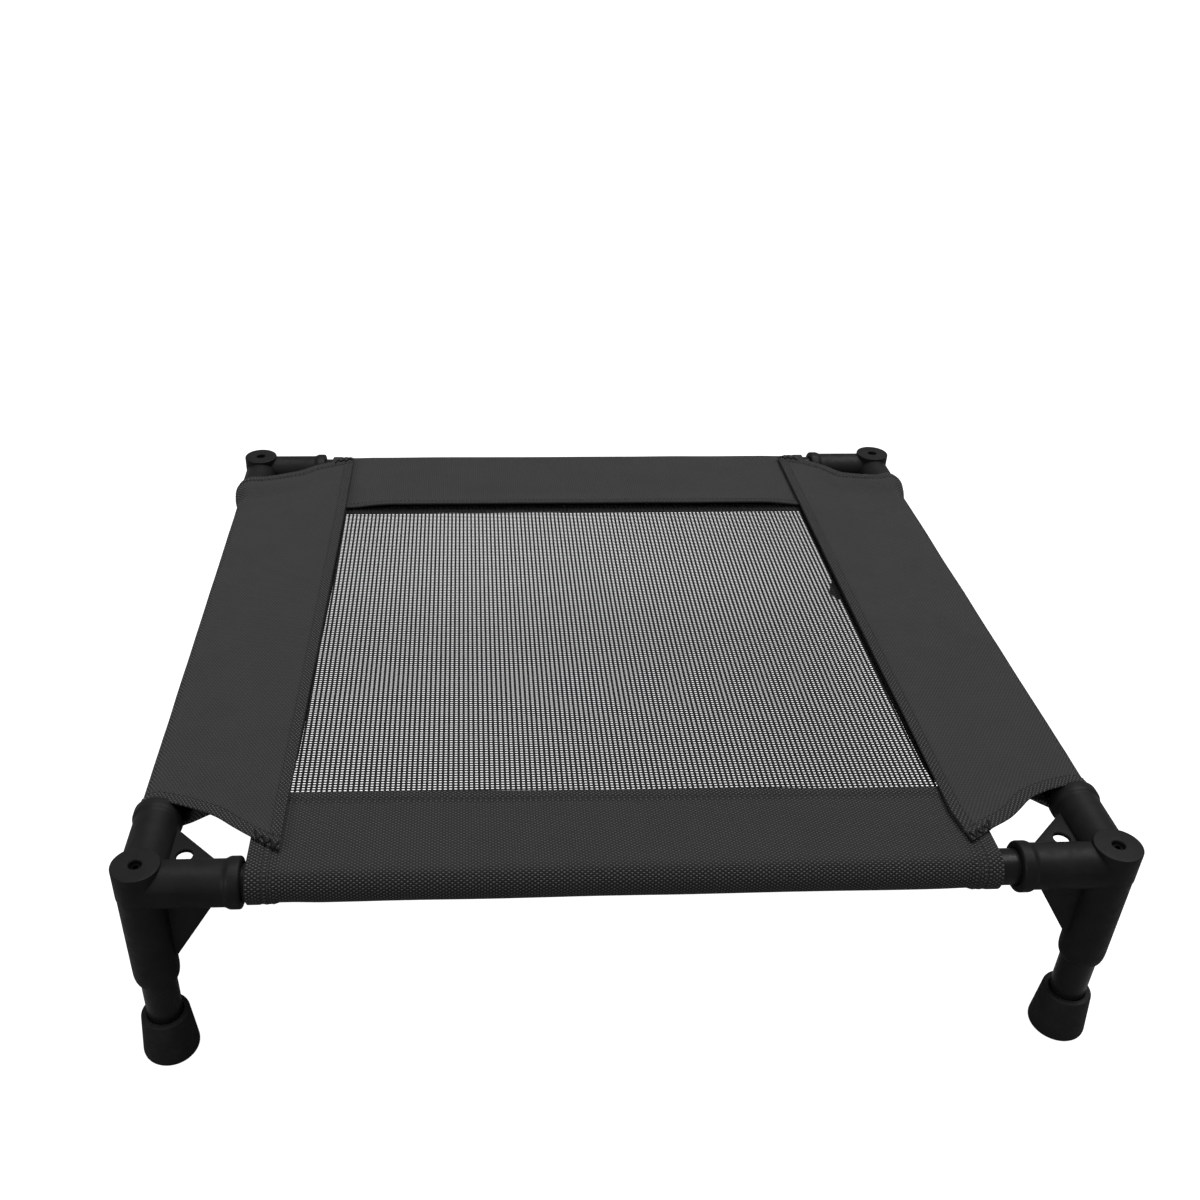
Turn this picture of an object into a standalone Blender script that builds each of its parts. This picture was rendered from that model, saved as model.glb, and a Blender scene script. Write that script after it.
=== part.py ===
"""A raised dog bed: a knock-down frame of steel tubes in moulded corners, and a sewn cover.

Metres, +Z up. The origin is on the floor under the middle of the frame, and -Y is the front.
Four identical corners stand on four legs. Two side rails run front to back, a front and a rear rail run
left to right, and the cover's four border panels each end in a sleeve that a rail passes through.
"""

import math

import bmesh
import bpy
from mathutils import Matrix, Vector

# The frame
LEG_SPACING_X = 0.580  # between the leg axes, left to right
LEG_SPACING_Y = 0.540  # between the leg axes, front to back
RAIL_HEIGHT = 0.1426  # the rails' axes above the floor
HALF_X = LEG_SPACING_X / 2
HALF_Y = LEG_SPACING_Y / 2
CLEARANCE = 0.0003  # left between pieces that touch

# Steel tubes
TUBE_RADIUS = 0.0110
TUBE_WALL = 0.0010

# Moulded corner
SOCKET_WALL = 0.0028
SOCKET_REACH = 0.0600  # from the leg axis to the mouth of a rail socket
SOCKET_ROOT = 0.0010  # from the leg axis to where a rail socket's body starts, in the head
BORE_GAP = 0.0052  # of plastic left between the leg's bore and a rail's
RIM_STANDS_PROUD = 0.0014  # the bead round a rail socket's mouth
RIM_LENGTH = 0.0080
BARE_LEG = 0.0320  # what shows of a leg between its foot and its socket
NOSE_LENGTH = 0.0085  # the leg socket's rounded mouth
NOSE_WALL = 0.0006  # what the rounding leaves of the wall at the mouth
BOSS_STANDS_PROUD = 0.0004  # the corner's head, outside the leg socket below it
BOSS_STEP = 0.0004  # the corner's flat top above the rail sockets' beads
BOSS_DROP = 0.0056  # from the rails' axes down to the head's lower edge
BOSS_EDGE = 0.0006  # chamfer round the flat top
BOSS_FLOOR = 0.0093  # from the flat top down to the end of the leg socket's bore
WEB_THICKNESS = 0.0030
FLAT_WEB_REACH = 0.0314  # the level web, along each rail socket's side
UPRIGHT_WEB_REACH = 0.0284  # an upright web, along the rail socket's underside
WEB_TO_MOUTH = 0.0175  # from an upright web's lower end to the leg socket's mouth
WEB_HOLE_RADIUS = 0.0050
WEB_HOLE_INSET = 0.0222  # from the leg axis to the hole, along each rail

# Leg screw and the threaded plug in the top of the leg tube
SCREW_RADIUS = 0.0020
SCREW_LENGTH = 0.0220
HEAD_RADIUS = 0.0035
HEAD_HEIGHT = 0.0040
HEAD_RECESS = 0.0022  # the head's top below the corner's flat top
HEAD_ROOM = 0.0004  # round the head in its recess
HEX_RADIUS = 0.0016
HEX_DEPTH = 0.0022
PLUG_LENGTH = 0.0200

# Rubber foot
FOOT_HEIGHT = 0.0335
FOOT_SOLE = 0.0045  # the thickness under the leg
FOOT_WALL = 0.0037  # at the rim
FOOT_SPREAD = 0.0030  # the foot's base, outside its rim
FOOT_BASE_ROUND = 0.0040
FOOT_RIM_ROUND = 0.0018

# Sewn cover
CLOTH = 0.0007
HEM = 0.0070  # from the mesh's edge back to the seam that closes a sleeve
SIDE_PANEL_WIDTH = 0.0870  # from a side rail's axis to the mesh
WINDOW_FRONT_INSET = 0.0610  # from the front rail's axis to the mesh
WINDOW_REAR_INSET = 0.0980  # from the rear rail's axis to the mesh
MESH_THICKNESS = 0.0010
MESH_TURN_IN = 0.0060  # how far the mesh runs in under the border panels, less than the hem
END_SLEEVE_GAP = 0.0075  # from the front and rear sleeves' ends to the sockets' mouths
FRONT_SLEEVE_SHIFT = -0.0045  # the front sleeve has slid this far along its rail
SIDE_RISE = 0.0013  # the side panels lift to lie on the front and rear ones
SIDE_FRONT_GAP = 0.0005  # from the front sockets' mouths to the side sleeves' ends
SIDE_REAR_GAP = 0.0025  # from the rear upright webs to the side sleeves, pulled over the sockets
FLARE_LENGTH = 0.0120  # over which a side sleeve widens to pass over the socket's rim
TIP_FRONT_INSET = 0.0085  # from the front rail's axis to the side panels' sewn tips
TIP_REAR_INSET = 0.0050  # from the rear rail's axis to the same
TIP_WIDTH = 0.0190  # the straight sewn end of a side panel

# Smoothness
ROUND_STEPS = 24
SLEEVE_STEPS = 12
CORNER_STEPS = 4
MERGE_DISTANCE = 1e-6
SMOOTH_ANGLE = math.radians(35)

SOCKET_BORE = TUBE_RADIUS + CLEARANCE
SOCKET_RADIUS = SOCKET_BORE + SOCKET_WALL
SOCKET_STOP = SOCKET_BORE + BORE_GAP  # from the leg axis to the floor of a rail socket
RIM_RADIUS = SOCKET_RADIUS + RIM_STANDS_PROUD
LEG_SOCKET_DROP = RAIL_HEIGHT - FOOT_HEIGHT - BARE_LEG  # from the rails' axes to its mouth
UPRIGHT_WEB_DROP = LEG_SOCKET_DROP - SOCKET_RADIUS - WEB_TO_MOUTH
BOSS_RISE = RIM_RADIUS + BOSS_STEP  # from the rails' axes up to the corner's flat top
CORNER_TOP = RAIL_HEIGHT + BOSS_RISE
LEG_TOP = CORNER_TOP - BOSS_FLOOR - CLEARANCE
LEG_BOTTOM = FOOT_SOLE + CLEARANCE
FOOT_TOP_RADIUS = SOCKET_BORE + FOOT_WALL
FOOT_BASE_RADIUS = FOOT_TOP_RADIUS + FOOT_SPREAD
WINDOW_HALF_WIDTH = HALF_X - SIDE_PANEL_WIDTH
END_SLEEVE_LENGTH = LEG_SPACING_X - 2 * (SOCKET_REACH + END_SLEEVE_GAP)
SIDE_FRONT_START = SOCKET_REACH + SIDE_FRONT_GAP  # from the front leg axes
SIDE_REAR_START = SOCKET_RADIUS + UPRIGHT_WEB_REACH + SIDE_REAR_GAP  # from the rear leg axes

# Each corner's name, the signs of its place, and its quarter turns from the front left one.
CORNERS = (
    ("front_left", -1, -1, 0),
    ("front_right", 1, -1, 1),
    ("rear_right", 1, 1, 2),
    ("rear_left", -1, 1, 3),
)


def remove_everything():
    for thing in list(bpy.data.objects):
        bpy.data.objects.remove(thing)


def finish_of(name, colour, roughness, metallic):
    """A plain Principled material."""
    material = bpy.data.materials.new(name)
    material.use_nodes = True
    shader = material.node_tree.nodes["Principled BSDF"]
    shader.inputs["Base Color"].default_value = (*colour, 1.0)
    shader.inputs["Roughness"].default_value = roughness
    shader.inputs["Metallic"].default_value = metallic
    return material


def mesh_of(name, shape):
    """The bmesh as a mesh with its faces pointing out and its round faces smooth."""
    bmesh.ops.remove_doubles(shape, verts=shape.verts, dist=MERGE_DISTANCE)
    bmesh.ops.recalc_face_normals(shape, faces=shape.faces)
    mesh = bpy.data.meshes.new(name)
    shape.to_mesh(mesh)
    shape.free()
    mesh.shade_smooth()
    mesh.set_sharp_from_angle(angle=SMOOTH_ANGLE)
    return mesh


def place(name, mesh, material, location=(0.0, 0.0, 0.0), quarter_turns=0):
    """An object that shows the mesh in a material, at a place and turned about +Z."""
    thing = bpy.data.objects.new(name, mesh)
    if not mesh.materials:
        mesh.materials.append(material)
    thing.location = location
    thing.rotation_euler.z = quarter_turns * math.pi / 2
    bpy.context.collection.objects.link(thing)
    return thing


def arc(centre, radius, start, stop, steps):
    """Points on a circle from one angle to another, in degrees, both ends included."""
    angles = [math.radians(start + (stop - start) * step / steps) for step in range(steps + 1)]
    return [(centre[0] + radius * math.cos(a), centre[1] + radius * math.sin(a)) for a in angles]


def turned(name, outline):
    """A body turned about +Z from (radius, height) points. An outline that starts and ends on the
    axis makes a solid, and any other is closed and makes a ring."""
    shape = bmesh.new()
    points = [shape.verts.new((radius, 0.0, height)) for radius, height in outline]
    follows = points[1:] if outline[0][0] == 0 else points[1:] + points[:1]
    edges = [shape.edges.new(ends) for ends in zip(points, follows)]
    bmesh.ops.spin(
        shape,
        geom=points + edges,
        cent=(0, 0, 0),
        axis=(0, 0, 1),
        angle=2 * math.pi,
        steps=ROUND_STEPS,
    )
    return mesh_of(name, shape)


def prism(name, outline, height):
    """A polygon in the XY plane, raised to a height."""
    shape = bmesh.new()
    face = shape.faces.new([shape.verts.new((x, y, 0.0)) for x, y in outline])
    raised = bmesh.ops.extrude_face_region(shape, geom=[face])["geom"]
    lifted = [item for item in raised if isinstance(item, bmesh.types.BMVert)]
    bmesh.ops.translate(shape, verts=lifted, vec=(0, 0, height))
    return mesh_of(name, shape)


def moved(mesh, matrix):
    mesh.transform(matrix)
    return mesh


def combined(body, others, operation):
    """The body's mesh after one exact Boolean with each of the others."""
    base = bpy.data.objects.new("base", body)
    bpy.context.collection.objects.link(base)
    tools = [base]
    for other in others:
        tool = bpy.data.objects.new("tool", other)
        tool.hide_render = True
        tool.display_type = "WIRE"
        bpy.context.collection.objects.link(tool)
        step = base.modifiers.new("step", "BOOLEAN")
        step.operation = operation
        step.solver = "EXACT"
        step.object = tool
        tools.append(tool)
    bpy.context.view_layer.update()
    shown = base.evaluated_get(bpy.context.evaluated_depsgraph_get())
    result = bpy.data.meshes.new_from_object(shown)
    for tool in tools:
        bpy.data.objects.remove(tool)
    shape = bmesh.new()
    shape.from_mesh(result)
    return mesh_of(body.name, shape)


# ---------------------------------------------------------------- moulded corner


def socket_body():
    """A rail socket's outside, along +Z from inside the head to its beaded mouth."""
    bead = RIM_STANDS_PROUD
    outline = [
        (0.0, SOCKET_ROOT),
        (SOCKET_RADIUS, SOCKET_ROOT),
        (SOCKET_RADIUS, SOCKET_REACH - RIM_LENGTH),
        (RIM_RADIUS, SOCKET_REACH - RIM_LENGTH + bead),
        (RIM_RADIUS, SOCKET_REACH - bead),
        (SOCKET_RADIUS, SOCKET_REACH),
        (0.0, SOCKET_REACH),
    ]
    return turned("socket", outline)


def head_and_leg_socket():
    """The upright middle of a corner, from its flat top down to the leg socket's rounded mouth."""
    head = SOCKET_RADIUS + BOSS_STANDS_PROUD
    mouth = -LEG_SOCKET_DROP
    lip = SOCKET_BORE + NOSE_WALL
    nose = [
        (
            lip + (SOCKET_RADIUS - lip) * math.sin(math.pi / 2 * step / CORNER_STEPS),
            mouth + NOSE_LENGTH * (1 - math.cos(math.pi / 2 * step / CORNER_STEPS)),
        )
        for step in range(CORNER_STEPS + 1)
    ]
    outline = [
        (0.0, mouth),
        *nose,
        (SOCKET_RADIUS, -BOSS_DROP),
        (head, -BOSS_DROP + BOSS_STANDS_PROUD),
        (head, BOSS_RISE - BOSS_EDGE),
        (head - BOSS_EDGE, BOSS_RISE),
        (0.0, BOSS_RISE),
    ]
    return turned("corner", outline)


def flat_web():
    """The level web between the two rail sockets, at their axes."""
    leg = 2 * SOCKET_RADIUS + FLAT_WEB_REACH
    web = prism("web", [(0, 0), (leg, 0), (0, leg)], WEB_THICKNESS)
    return moved(web, Matrix.Translation((0, 0, -WEB_THICKNESS / 2)))


def upright_web():
    """The web under the rail socket that runs along +X. Its slanting edge is drawn on to both axes."""
    slope = UPRIGHT_WEB_DROP / UPRIGHT_WEB_REACH
    along = SOCKET_RADIUS + UPRIGHT_WEB_REACH + SOCKET_RADIUS / slope
    down = SOCKET_RADIUS + UPRIGHT_WEB_DROP + SOCKET_RADIUS * slope
    web = prism("web", [(0, 0), (along, 0), (0, down)], WEB_THICKNESS)
    web.transform(Matrix.Translation((0, 0, -WEB_THICKNESS / 2)))
    return moved(web, Matrix.Rotation(-math.pi / 2, 4, "X"))


def corner_mesh():
    """A corner at the origin of the rails' axes, with rail sockets along +X and +Y."""
    along_x = Matrix.Rotation(math.pi / 2, 4, "Y")
    along_y = Matrix.Rotation(-math.pi / 2, 4, "X")
    quarter = Matrix.Rotation(math.pi / 2, 4, "Z")
    solid = combined(
        head_and_leg_socket(),
        [
            moved(socket_body(), along_x),
            moved(socket_body(), along_y),
            flat_web(),
            upright_web(),
            moved(upright_web(), quarter),
        ],
        "UNION",
    )
    beyond = TUBE_RADIUS  # how far each cutter runs past the face it opens
    bore_length = SOCKET_REACH - SOCKET_STOP + beyond
    leg_length = LEG_SOCKET_DROP + BOSS_RISE - BOSS_FLOOR + beyond
    recess = HEAD_RECESS + HEAD_HEIGHT + CLEARANCE
    rail_bore = rod("bore", SOCKET_BORE, SOCKET_STOP, bore_length)
    other_bore = rod("bore", SOCKET_BORE, SOCKET_STOP, bore_length)
    hole = rod("hole", WEB_HOLE_RADIUS, -beyond, 2 * beyond)
    return combined(
        solid,
        [
            moved(rail_bore, along_x),
            moved(other_bore, along_y),
            rod("leg bore", SOCKET_BORE, -LEG_SOCKET_DROP - beyond, leg_length),
            rod("recess", HEAD_RADIUS + HEAD_ROOM, BOSS_RISE - recess, recess + beyond),
            rod("screw hole", SCREW_RADIUS + CLEARANCE, 0.0, BOSS_RISE),
            moved(hole, Matrix.Translation((WEB_HOLE_INSET, WEB_HOLE_INSET, 0))),
        ],
        "DIFFERENCE",
    )


def rod(name, radius, start, length):
    """A plain round bar along +Z."""
    outline = [(0.0, start), (radius, start), (radius, start + length), (0.0, start + length)]
    return turned(name, outline)


# ---------------------------------------------------------------- tubes, feet and fasteners


def tube(name, length):
    """An open tube along +Z from the origin."""
    inner = TUBE_RADIUS - TUBE_WALL
    outline = [(inner, 0.0), (TUBE_RADIUS, 0.0), (TUBE_RADIUS, length), (inner, length)]
    return turned(name, outline)


def foot_mesh():
    """A rubber foot with a blind bore for the leg, tapering up from a rounded base to a rounded rim."""
    bore = SOCKET_BORE
    base_centre = (FOOT_BASE_RADIUS - FOOT_BASE_ROUND, FOOT_BASE_ROUND)
    rim_centre = (FOOT_TOP_RADIUS - FOOT_RIM_ROUND, FOOT_HEIGHT - FOOT_RIM_ROUND)
    outline = [
        (0.0, 0.0),
        *arc(base_centre, FOOT_BASE_ROUND, -90, 0, CORNER_STEPS),
        *arc(rim_centre, FOOT_RIM_ROUND, 0, 90, CORNER_STEPS),
        (bore, FOOT_HEIGHT),
        (bore, FOOT_SOLE),
        (0.0, FOOT_SOLE),
    ]
    return turned("foot", outline)


def screw_mesh():
    """A socket-head screw, its head's underside at the origin and its shank down -Z."""
    outline = [
        (0.0, -SCREW_LENGTH),
        (SCREW_RADIUS, -SCREW_LENGTH),
        (SCREW_RADIUS, 0.0),
        (HEAD_RADIUS, 0.0),
        (HEAD_RADIUS, HEAD_HEIGHT),
        (HEX_RADIUS, HEAD_HEIGHT),
        (HEX_RADIUS, HEAD_HEIGHT - HEX_DEPTH),
        (0.0, HEAD_HEIGHT - HEX_DEPTH),
    ]
    return turned("screw", outline)


def plug_mesh():
    """The threaded plug in the top of a leg tube, its top at the origin."""
    inner = SCREW_RADIUS + CLEARANCE
    outer = TUBE_RADIUS - TUBE_WALL - CLEARANCE
    outline = [(inner, -PLUG_LENGTH), (outer, -PLUG_LENGTH), (outer, 0.0), (inner, 0.0)]
    return turned("plug", outline)


# ---------------------------------------------------------------- sewn cover


def crossing(start, along, other, other_along):
    """Where two straight lines cross, each given by a point and a direction."""
    turn = along[0] * other_along[1] - along[1] * other_along[0]
    gap = (other[0] - start[0], other[1] - start[1])
    share = (gap[0] * other_along[1] - gap[1] * other_along[0]) / turn
    return (start[0] + share * along[0], start[1] + share * along[1])


def panel_section(rail_radius, width, rise):
    """One border panel cut across: (outer outline, outline of the sleeve's hollow), both as points
    (inwards from the rail's axis, up from it). The cloth lies over the rail, runs in to the mesh and
    climbs by rise on the way, and a lower layer comes from the rail's underside up to the seam."""
    hollow = rail_radius + CLEARANCE
    outer = hollow + CLOTH
    slope = rise / width
    seam = width - HEM
    under_seam = (seam, hollow + slope * seam)
    far = math.hypot(*under_seam)
    leaves = math.degrees(math.atan2(under_seam[1], under_seam[0]) - math.acos(outer / far))
    last = 360 + leaves
    along = (-math.sin(math.radians(leaves)), math.cos(math.radians(leaves)))
    outside = [
        (width, outer + rise),
        *arc((0, 0), outer, 90, last, SLEEVE_STEPS),
        under_seam,
        (width, hollow + rise),
    ]
    around = arc((0, 0), hollow, 90, last, SLEEVE_STEPS)
    point = crossing((0.0, hollow), (1.0, slope), around[-1], along)
    return outside, [*around, point]


def panel_mesh(name, stations):
    """A sleeve and its flap, lofted through (place along the rail, rail radius, width, rise)."""
    shape = bmesh.new()
    rings = []
    for along, *section in stations:
        loops = panel_section(*section)
        rings.append([[shape.verts.new((u, along, w)) for u, w in loop] for loop in loops])
    for near, far in zip(rings, rings[1:]):
        for a, b in zip(near, far):
            for i in range(len(a)):
                j = (i + 1) % len(a)
                shape.faces.new((a[i], a[j], b[j], b[i]))
    for ring in (rings[0], rings[-1]):
        ends = [
            shape.edges.get((loop[i], loop[(i + 1) % len(loop)]))
            for loop in ring
            for i in range(len(loop))
        ]
        bmesh.ops.triangle_fill(shape, edges=ends, use_beauty=True)
    return mesh_of(name, shape)


def hem_curve(sleeve_end, tip_inset):
    """The side panel's hem at one corner, as (inwards from the side rail's axis, from the leg axis).
    It leaves the sleeve square, swings in towards the end rail, and stops at the sewn tip."""
    tip_start = SIDE_PANEL_WIDTH - TIP_WIDTH
    shoulder = SOCKET_BORE
    tip_slope = 0.6
    begin = Vector((shoulder, sleeve_end))
    finish = Vector((tip_start, tip_inset + tip_slope * TIP_WIDTH))
    reach = (tip_start - shoulder) / 3
    before = begin + Vector((reach, 0))
    after = finish + Vector((-reach, tip_slope * reach))
    steps = 2 * CORNER_STEPS
    points = []
    for step in range(steps + 1):
        t = step / steps
        a, b, c, d = (1 - t) ** 3, 3 * t * (1 - t) ** 2, 3 * t * t * (1 - t), t**3
        points.append(tuple(a * begin + b * before + c * after + d * finish))
    return points + [(SIDE_PANEL_WIDTH, tip_inset)]


def hem_cutter(sleeve_end, tip_inset, side):
    """What the hem leaves off the side panel at its front (side -1) or rear (side 1) end."""
    beyond = 2 * SOCKET_RADIUS
    hem = hem_curve(sleeve_end, tip_inset)
    outline = [
        (-beyond, hem[0][1]),
        *hem,
        (hem[-1][0] + beyond, hem[-1][1]),
        (hem[-1][0] + beyond, -beyond),
        (-beyond, -beyond),
    ]
    cutter = prism("cutter", [(u, side * (HALF_Y - v)) for u, v in outline], 2 * beyond)
    return moved(cutter, Matrix.Translation((0, 0, -beyond)))


def under_cutter(first, last, top, side):
    """What is left off the side panel's lower layer at one end: from first inwards, from beyond the
    end rail to last from it, and up to top above the rails' axes."""
    beyond = 2 * SOCKET_RADIUS
    width = SIDE_PANEL_WIDTH + beyond
    square = [(first, -beyond), (width, -beyond), (width, last), (first, last)]
    block = prism("cutter", [(u, side * (HALF_Y - v)) for u, v in square], 2 * beyond)
    return moved(block, Matrix.Translation((0, 0, top - 2 * beyond)))


def end_cutters(sleeve_end, tip_inset, window_inset, side):
    """The cuts at one end of the side panel: its hem, its sleeve squared off before the corner's
    webs, and its lower layer stopped beside the end panel that the flap lies on."""
    outside = -2 * SOCKET_RADIUS
    beside = HALF_X - END_SLEEVE_LENGTH / 2 - abs(FRONT_SLEEVE_SHIFT) - CLEARANCE
    end_panel_top = SOCKET_BORE + CLOTH + CLEARANCE
    return [
        hem_cutter(sleeve_end, tip_inset, side),
        under_cutter(outside, sleeve_end, TUBE_RADIUS, side),
        under_cutter(beside, window_inset + CLEARANCE, end_panel_top, side),
    ]


def side_panel_mesh():
    """The left border panel, about the left rail's axis, with +X pointing in to the mesh."""
    width = SIDE_PANEL_WIDTH
    rim = HALF_Y - SOCKET_REACH - FLARE_LENGTH
    plain, wide = TUBE_RADIUS, RIM_RADIUS
    steps = [
        (CLEARANCE - HALF_Y, plain),
        (rim, plain),
        (rim + FLARE_LENGTH / 3, plain + (wide - plain) * 0.35),
        (rim + FLARE_LENGTH * 0.75, wide),
        (HALF_Y, wide),
    ]
    stations = [(along, radius, width, SIDE_RISE - (radius - plain)) for along, radius in steps]
    return combined(
        panel_mesh("side_panel", stations),
        end_cutters(SIDE_FRONT_START, TIP_FRONT_INSET, WINDOW_FRONT_INSET, -1)
        + end_cutters(SIDE_REAR_START, TIP_REAR_INSET, WINDOW_REAR_INSET, 1),
        "DIFFERENCE",
    )


def end_panel_mesh(name, width):
    """A front or rear border panel, about its rail's axis along Y, with +X pointing in to the mesh."""
    half = END_SLEEVE_LENGTH / 2
    return panel_mesh(name, [(-half, TUBE_RADIUS, width, 0.0), (half, TUBE_RADIUS, width, 0.0)])


def mirrored(mesh, name):
    """The same shape reflected left to right."""
    shape = bmesh.new()
    shape.from_mesh(mesh)
    bmesh.ops.scale(shape, vec=(-1, 1, 1), verts=shape.verts)
    return mesh_of(name, shape)


def mesh_slab():
    """The mesh middle, a flat sheet that runs a little way in under the border panels."""
    x = WINDOW_HALF_WIDTH + MESH_TURN_IN
    front = -HALF_Y + WINDOW_FRONT_INSET - MESH_TURN_IN
    rear = HALF_Y - WINDOW_REAR_INSET + MESH_TURN_IN
    return prism("mesh", [(-x, front), (x, front), (x, rear), (-x, rear)], MESH_THICKNESS)


# ---------------------------------------------------------------- the bed


def build_corners():
    plastic = finish_of("corner_plastic", (0.012, 0.012, 0.013), 0.45, 0.0)
    mesh = corner_mesh()
    for name, x, y, turns in CORNERS:
        place("corner_" + name, mesh, plastic, (x * HALF_X, y * HALF_Y, RAIL_HEIGHT), turns)


def build_rails():
    steel = finish_of("rail_steel", (0.02, 0.02, 0.022), 0.35, 0.6)
    start = SOCKET_STOP + CLEARANCE
    across = tube("end_rail", LEG_SPACING_X - 2 * start)
    across.transform(Matrix.Rotation(math.pi / 2, 4, "Y"))
    back = tube("side_rail", LEG_SPACING_Y - 2 * start)
    back.transform(Matrix.Rotation(-math.pi / 2, 4, "X"))
    for name, y in (("front_rail", -HALF_Y), ("rear_rail", HALF_Y)):
        place(name, across, steel, (start - HALF_X, y, RAIL_HEIGHT))
    for name, x in (("left_rail", -HALF_X), ("right_rail", HALF_X)):
        place(name, back, steel, (x, start - HALF_Y, RAIL_HEIGHT))


def build_legs():
    steel = finish_of("leg_steel", (0.02, 0.02, 0.022), 0.35, 0.6)
    rubber = finish_of("foot_rubber", (0.015, 0.015, 0.015), 0.7, 0.0)
    bright = finish_of("plug_steel", (0.55, 0.55, 0.55), 0.35, 1.0)
    black = finish_of("screw_steel", (0.03, 0.03, 0.03), 0.4, 1.0)
    leg = tube("leg", LEG_TOP - LEG_BOTTOM)
    foot, plug, screw = foot_mesh(), plug_mesh(), screw_mesh()
    seat = CORNER_TOP - HEAD_RECESS - HEAD_HEIGHT
    for name, x, y, _ in CORNERS:
        x, y = x * HALF_X, y * HALF_Y
        place("leg_" + name, leg, steel, (x, y, LEG_BOTTOM))
        place("foot_" + name, foot, rubber, (x, y, 0.0))
        place("leg_plug_" + name, plug, bright, (x, y, LEG_TOP))
        place("leg_screw_" + name, screw, black, (x, y, seat))


def build_cover():
    cloth = finish_of("cover_cloth", (0.045, 0.045, 0.047), 0.85, 0.0)
    netting = finish_of("mesh_netting", (0.01, 0.01, 0.01), 0.6, 0.0)
    left = side_panel_mesh()
    right = mirrored(left, "right_panel")
    place("left_panel", left, cloth, (-HALF_X, 0.0, RAIL_HEIGHT))
    place("right_panel", right, cloth, (HALF_X, 0.0, RAIL_HEIGHT))
    front = end_panel_mesh("front_panel", WINDOW_FRONT_INSET)
    rear = end_panel_mesh("rear_panel", WINDOW_REAR_INSET)
    place("front_panel", front, cloth, (FRONT_SLEEVE_SHIFT, -HALF_Y, RAIL_HEIGHT), 1)
    place("rear_panel", rear, cloth, (0.0, HALF_Y, RAIL_HEIGHT), 3)
    under = RAIL_HEIGHT + TUBE_RADIUS - MESH_THICKNESS
    place("mesh_panel", mesh_slab(), netting, (0.0, 0.0, under))


def main():
    remove_everything()
    build_corners()
    build_rails()
    build_legs()
    build_cover()


main()
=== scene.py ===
"""The looks of a raised dog bed: moulded corners, painted tubes and a sewn cover with a netting middle.

Metres, +Z up, front towards -Y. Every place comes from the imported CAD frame.
"""

import math

import bmesh
import bpy
import numpy as np
from mathutils import Matrix, Vector, noise


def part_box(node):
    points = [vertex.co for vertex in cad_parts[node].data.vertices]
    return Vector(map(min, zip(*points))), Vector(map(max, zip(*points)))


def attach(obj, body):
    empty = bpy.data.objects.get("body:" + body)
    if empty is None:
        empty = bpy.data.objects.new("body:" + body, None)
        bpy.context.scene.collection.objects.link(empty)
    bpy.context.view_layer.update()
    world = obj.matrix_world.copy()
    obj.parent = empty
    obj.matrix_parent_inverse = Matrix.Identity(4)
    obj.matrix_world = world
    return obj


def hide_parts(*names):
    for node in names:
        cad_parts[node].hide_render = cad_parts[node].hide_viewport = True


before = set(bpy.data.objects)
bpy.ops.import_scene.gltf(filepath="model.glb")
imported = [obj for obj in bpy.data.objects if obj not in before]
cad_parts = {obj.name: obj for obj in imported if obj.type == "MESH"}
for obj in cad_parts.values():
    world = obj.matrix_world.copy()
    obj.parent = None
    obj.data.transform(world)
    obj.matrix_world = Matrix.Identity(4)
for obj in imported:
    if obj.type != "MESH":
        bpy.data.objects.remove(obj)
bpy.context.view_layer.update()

# ---- sizes

# Moulded corner
RIM_STANDS_PROUD = 0.0014  # the bead round a rail socket's mouth
RIM_LENGTH = 0.0080
RIM_MOUTH_ROUND = 0.00182
SOCKET_WALL = 0.0028
SOCKET_STOP = 0.0165  # from the leg axis to the floor of a rail socket
NOSE_LENGTH = 0.0085  # the leg socket's rounded mouth
NOSE_WALL = 0.0006
BOSS_STANDS_PROUD = 0.0004
BOSS_DROP = 0.0056
BOSS_EDGE = 0.0009
BOSS_FLOOR = 0.0093
LEG_BORE_RUN_OUT = 0.0100  # past the mouth, to clear the webs' point inside the bore
RECESS_RADIUS = 0.0039
RECESS_DEPTH = 0.0065
WEB_THICKNESS = 0.0030
WEB_EDGE = 0.0005
FLAT_WEB_REACH = 0.0314
UPRIGHT_WEB_REACH = 0.0284
UPRIGHT_WEB_DROP = 0.0455
WEB_HOLE_RADIUS = 0.0050
WEB_HOLE_INSET = 0.0222
SCREW_HOLE_RADIUS = 0.0023
EDGE_BREAK = 0.0005  # small chamfers on tubes, holes and the screw

# Tube, screw and foot
TUBE_WALL = 0.0010
HEX_RADIUS = 0.0017
HEX_DEPTH = 0.0022
SCREW_HEAD_HEIGHT = 4 / 7  # of the head's width
SHANK_RADIUS = 0.0020
FOOT_SOLE = 0.0045
FOOT_TOP_RADIUS = 0.0150
FOOT_BASE_ROUND = 0.0040
FOOT_RIM_ROUND = 0.0018
FOOT_RING_RADIUS = 0.0110  # a shallow ring moulded in the foot's underside
FOOT_RING_WIDTH = 0.0030
FOOT_RING_DEPTH = 0.0009

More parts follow.
